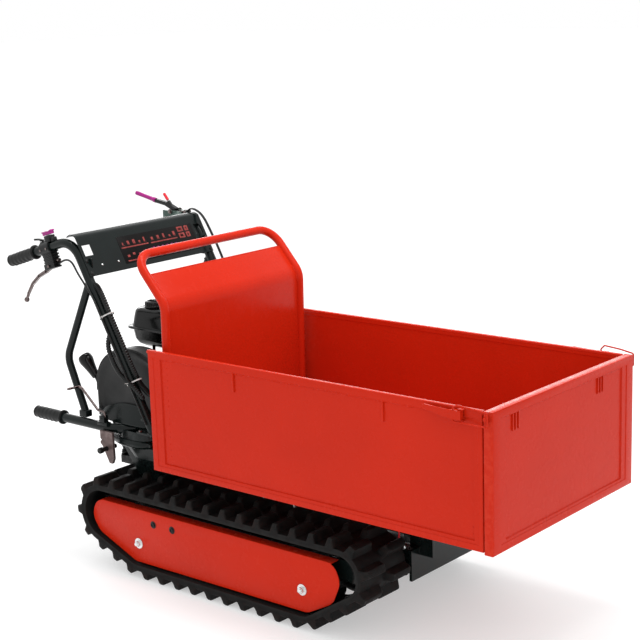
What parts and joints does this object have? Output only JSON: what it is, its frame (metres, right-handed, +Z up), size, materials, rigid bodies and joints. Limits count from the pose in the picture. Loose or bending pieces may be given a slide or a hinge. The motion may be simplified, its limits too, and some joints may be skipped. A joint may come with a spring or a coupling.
{
  "type": "power wheelbarrow",
  "caption": "Petrol tracked mini dumper: rubber tracks, forward tipping open skip with sliding sides, drop gate and latches, engine behind, walk-behind handlebars with levers.",
  "frame": {"origin": "centre of the footprint, on the ground", "axes": "+X forward over the skip's front gate, +Y to the machine's left, +Z up"},
  "size_m": [1.7343, 0.6636, 0.983],
  "materials": {
    "track_right": "moulded rubber",
    "track_beam_right": "satin",
    "roller_1_right": "satin",
    "roller_2_right": "satin",
    "idler_right": "satin",
    "sprocket_right": "satin",
    "side_cover_right": "semi-gloss",
    "cover_bolts_right": "zinc plated",
    "side_panel_right": "semi-gloss",
    "latch_lever_right": "semi-gloss",
    "latch_loop_right": "semi-gloss",
    "hand_grip_right": "matt",
    "rail_grip_right": "matt",
    "track_left": "moulded rubber",
    "track_beam_left": "satin",
    "roller_1_left": "satin",
    "roller_2_left": "satin",
    "idler_left": "satin",
    "sprocket_left": "satin",
    "side_cover_left": "semi-gloss",
    "cover_bolts_left": "zinc plated",
    "side_panel_left": "semi-gloss",
    "latch_lever_left": "semi-gloss",
    "latch_loop_left": "semi-gloss",
    "hand_grip_left": "matt",
    "rail_grip_left": "matt",
    "chassis_frame": "satin",
    "rear_frame": "satin",
    "engine_pan": "satin",
    "gearbox": "cast",
    "latch_plate": "worn",
    "latch_pin": "matt",
    "engine_block": "cast",
    "recoil_starter": "satin",
    "starter_handle": "matt",
    "muffler": "matt",
    "air_cleaner": "satin",
    "fuel_tank": "gloss",
    "fuel_cap": "matt",
    "engine_pulley": "machined",
    "gearbox_pulley": "machined",
    "drive_belt": "matt",
    "belt_cover": "satin",
    "skip_floor": "semi-gloss",
    "headboard": "semi-gloss",
    "front_gate": "semi-gloss",
    "handlebar_frame": "satin",
    "console": "satin",
    "lever_housing_right": "satin",
    "clutch_lever_right": "polished",
    "throttle_lever": "matt",
    "stop_switch": "gloss",
    "lever_bracket_left": "satin",
    "clutch_lever_left": "satin",
    "lever_lock": "gloss",
    "gear_lever": "gloss knob",
    "skip_release": "zinc plated",
    "clutch_cable_right": "satin",
    "clutch_cables_left": "satin",
    "cable_sleeve": "ribbed"
  },
  "bodies": {
    "chassis": {"chassis_frame": "chassis_frame", "gearbox": "gearbox", "engine_pan": "engine_pan", "rear_frame": "rear_frame", "rail_grip_right": "rail_grip_right", "rail_grip_left": "rail_grip_left", "belt_cover": "belt_cover", "engine_block": "engine_block", "recoil_starter": "recoil_starter", "muffler": "muffler", "air_cleaner": "air_cleaner", "fuel_tank": "fuel_tank", "track_beam_right": "track_beam_right", "track_beam_left": "track_beam_left", "side_cover_right": "side_cover_right", "side_cover_left": "side_cover_left", "cover_bolts_right": "cover_bolts_right", "cover_bolts_left": "cover_bolts_left", "track_right": "track_right", "track_left": "track_left", "drive_belt": "drive_belt", "handlebar_frame": "handlebar_frame", "console": "console", "hand_grip_right": "hand_grip_right", "hand_grip_left": "hand_grip_left", "lever_housing_right": "lever_housing_right", "lever_bracket_left": "lever_bracket_left", "cable_sleeve": "cable_sleeve", "clutch_cable_right": "clutch_cable_right", "clutch_cables_left": "clutch_cables_left", "latch_plate": "latch_plate"},
    "skip": {"skip_floor": "skip_floor", "headboard": "headboard"},
    "gate": {"front_gate": "front_gate"},
    "side_right": {"side_panel_right": "side_panel_right"},
    "latch_lever_right": {"latch_lever_right": "latch_lever_right"},
    "latch_loop_right": {"latch_loop_right": "latch_loop_right"},
    "sprocket_right": {"sprocket_right": "sprocket_right"},
    "idler_right": {"idler_right": "idler_right"},
    "roller_1_right": {"roller_1_right": "roller_1_right"},
    "roller_2_right": {"roller_2_right": "roller_2_right"},
    "side_left": {"side_panel_left": "side_panel_left"},
    "latch_lever_left": {"latch_lever_left": "latch_lever_left"},
    "latch_loop_left": {"latch_loop_left": "latch_loop_left"},
    "sprocket_left": {"sprocket_left": "sprocket_left"},
    "idler_left": {"idler_left": "idler_left"},
    "roller_1_left": {"roller_1_left": "roller_1_left"},
    "roller_2_left": {"roller_2_left": "roller_2_left"},
    "engine_pulley": {"engine_pulley": "engine_pulley"},
    "gearbox_pulley": {"gearbox_pulley": "gearbox_pulley"},
    "gear_lever": {"gear_lever": "gear_lever"},
    "clutch_lever_right": {"clutch_lever_right": "clutch_lever_right"},
    "clutch_lever_left": {"clutch_lever_left": "clutch_lever_left"},
    "lever_lock": {"lever_lock": "lever_lock"},
    "throttle_lever": {"throttle_lever": "throttle_lever"},
    "stop_switch": {"stop_switch": "stop_switch"},
    "skip_release": {"skip_release": "skip_release"},
    "latch_pin": {"latch_pin": "latch_pin"},
    "fuel_cap": {"fuel_cap": "fuel_cap"},
    "starter_handle": {"starter_handle": "starter_handle"}
  },
  "joints": [
    {"name": "skip_tilt", "type": "hinge", "parent": "chassis", "child": "skip", "pos_m": [0.51855, 0, 0.252], "axis": [0, 1, 0], "range_deg": [0, 45]},
    {"name": "side_slide_right", "type": "slide", "parent": "skip", "child": "side_right", "axis": [0, -1, 0], "range_m": [0, 0.15]},
    {"name": "side_slide_left", "type": "slide", "parent": "skip", "child": "side_left", "axis": [0, 1, 0], "range_m": [0, 0.15]},
    {"name": "gate_hinge", "type": "hinge", "parent": "skip", "child": "gate", "pos_m": [0.84105, 0, 0.326], "axis": [0, -1, 0], "range_deg": [-90, 0]},
    {"name": "latch_lever_turn_right", "type": "hinge", "parent": "side_right", "child": "latch_lever_right", "pos_m": [0.78655, -0.3225, 0.646], "axis": [0, 0, 1], "range_deg": [0, 95]},
    {"name": "latch_loop_turn_right", "type": "hinge", "parent": "latch_lever_right", "child": "latch_loop_right", "pos_m": [0.76855, -0.3285, 0.646], "axis": [0, 0, 1], "range_deg": [-95, 0]},
    {"name": "latch_lever_turn_left", "type": "hinge", "parent": "side_left", "child": "latch_lever_left", "pos_m": [0.78655, 0.3225, 0.646], "axis": [0, 0, -1], "range_deg": [0, 95]},
    {"name": "latch_loop_turn_left", "type": "hinge", "parent": "latch_lever_left", "child": "latch_loop_left", "pos_m": [0.76855, 0.3285, 0.646], "axis": [0, 0, -1], "range_deg": [-95, 0]},
    {"name": "sprocket_spin_right", "type": "hinge", "parent": "chassis", "child": "sprocket_right", "pos_m": [-0.44345, -0.228, 0.16], "axis": [0, 1, 0], "continuous": true},
    {"name": "idler_spin_right", "type": "hinge", "parent": "chassis", "child": "idler_right", "pos_m": [0.41255, -0.228, 0.173], "axis": [0, 1, 0], "continuous": true},
    {"name": "roller_1_spin_right", "type": "hinge", "parent": "chassis", "child": "roller_1_right", "pos_m": [-0.30945, -0.228, 0.094], "axis": [0, 1, 0], "continuous": true},
    {"name": "roller_2_spin_right", "type": "hinge", "parent": "chassis", "child": "roller_2_right", "pos_m": [0.28355, -0.228, 0.094], "axis": [0, 1, 0], "continuous": true},
    {"name": "sprocket_spin_left", "type": "hinge", "parent": "chassis", "child": "sprocket_left", "pos_m": [-0.44345, 0.228, 0.16], "axis": [0, 1, 0], "continuous": true},
    {"name": "idler_spin_left", "type": "hinge", "parent": "chassis", "child": "idler_left", "pos_m": [0.41255, 0.228, 0.173], "axis": [0, 1, 0], "continuous": true},
    {"name": "roller_1_spin_left", "type": "hinge", "parent": "chassis", "child": "roller_1_left", "pos_m": [-0.30945, 0.228, 0.094], "axis": [0, 1, 0], "continuous": true},
    {"name": "roller_2_spin_left", "type": "hinge", "parent": "chassis", "child": "roller_2_left", "pos_m": [0.28355, 0.228, 0.094], "axis": [0, 1, 0], "continuous": true},
    {"name": "gearbox_pulley_spin", "type": "hinge", "parent": "chassis", "child": "gearbox_pulley", "pos_m": [-0.48645, -0.165, 0.458], "axis": [0, 1, 0], "continuous": true},
    {"name": "engine_pulley_spin", "type": "hinge", "parent": "chassis", "child": "engine_pulley", "pos_m": [-0.37145, -0.165, 0.45], "axis": [0, 1, 0], "continuous": true},
    {"name": "gear_shift", "type": "hinge", "parent": "chassis", "child": "gear_lever", "pos_m": [-0.54345, -0.12, 0.272], "axis": [0, 1, 0], "range_deg": [-12, 12]},
    {"name": "clutch_squeeze_right", "type": "hinge", "parent": "chassis", "child": "clutch_lever_right", "pos_m": [-0.67377, -0.24, 0.8343], "axis": [0, 1, 0], "range_deg": [0, 20], "stiffness_Nm_per_rad": 1.5, "springref_deg": -14.32},
    {"name": "clutch_squeeze_left", "type": "hinge", "parent": "chassis", "child": "clutch_lever_left", "pos_m": [-0.65745, 0.24, 0.93], "axis": [0, -1, 0], "range_deg": [0, 18], "stiffness_Nm_per_rad": 1.5, "springref_deg": -14.32},
    {"name": "lock_press", "type": "slide", "parent": "clutch_lever_left", "child": "lever_lock", "axis": [0.65, 0, -0.76], "range_m": [0, 0.003], "stiffness_N_per_m": 250, "springref_m": -0.002},
    {"name": "throttle_turn", "type": "hinge", "parent": "chassis", "child": "throttle_lever", "pos_m": [-0.7073, -0.24, 0.9019], "axis": [-0.2963, 0, 0.9551], "range_deg": [-25, 25]},
    {"name": "stop_rock", "type": "hinge", "parent": "chassis", "child": "stop_switch", "pos_m": [-0.69366, -0.24, 0.91869], "axis": [0, 1, 0], "range_deg": [-4, 4]},
    {"name": "release_lift", "type": "hinge", "parent": "chassis", "child": "skip_release", "pos_m": [-0.47645, -0.258, 0.42], "axis": [0, 1, 0], "range_deg": [0, 25], "stiffness_Nm_per_rad": 0.4, "springref_deg": -17.19},
    {"name": "latch_pin_pull", "type": "slide", "parent": "chassis", "child": "latch_pin", "axis": [0, -1, 0], "range_m": [0, 0.012], "stiffness_N_per_m": 600, "springref_m": -0.002},
    {"name": "cap_turn", "type": "hinge", "parent": "chassis", "child": "fuel_cap", "pos_m": [-0.46445, -0.05, 0.714], "axis": [0, 0, 1], "continuous": true},
    {"name": "starter_pull", "type": "slide", "parent": "chassis", "child": "starter_handle", "axis": [-1, 0, 0], "range_m": [0, 0.08], "stiffness_N_per_m": 60, "springref_m": -0.01}
  ],
  "couplings": [
    {"joint": "latch_loop_turn_right", "follows": "latch_lever_turn_right", "ratio": -1},
    {"joint": "latch_loop_turn_left", "follows": "latch_lever_turn_left", "ratio": -1},
    {"joint": "idler_spin_right", "follows": "sprocket_spin_right", "ratio": 1.2364},
    {"joint": "roller_1_spin_right", "follows": "sprocket_spin_right", "ratio": 1.2143},
    {"joint": "roller_2_spin_right", "follows": "sprocket_spin_right", "ratio": 1.2143},
    {"joint": "idler_spin_left", "follows": "sprocket_spin_left", "ratio": 1.2364},
    {"joint": "roller_1_spin_left", "follows": "sprocket_spin_left", "ratio": 1.2143},
    {"joint": "roller_2_spin_left", "follows": "sprocket_spin_left", "ratio": 1.2143},
    {"joint": "engine_pulley_spin", "follows": "gearbox_pulley_spin", "ratio": 1.6545}
  ]
}
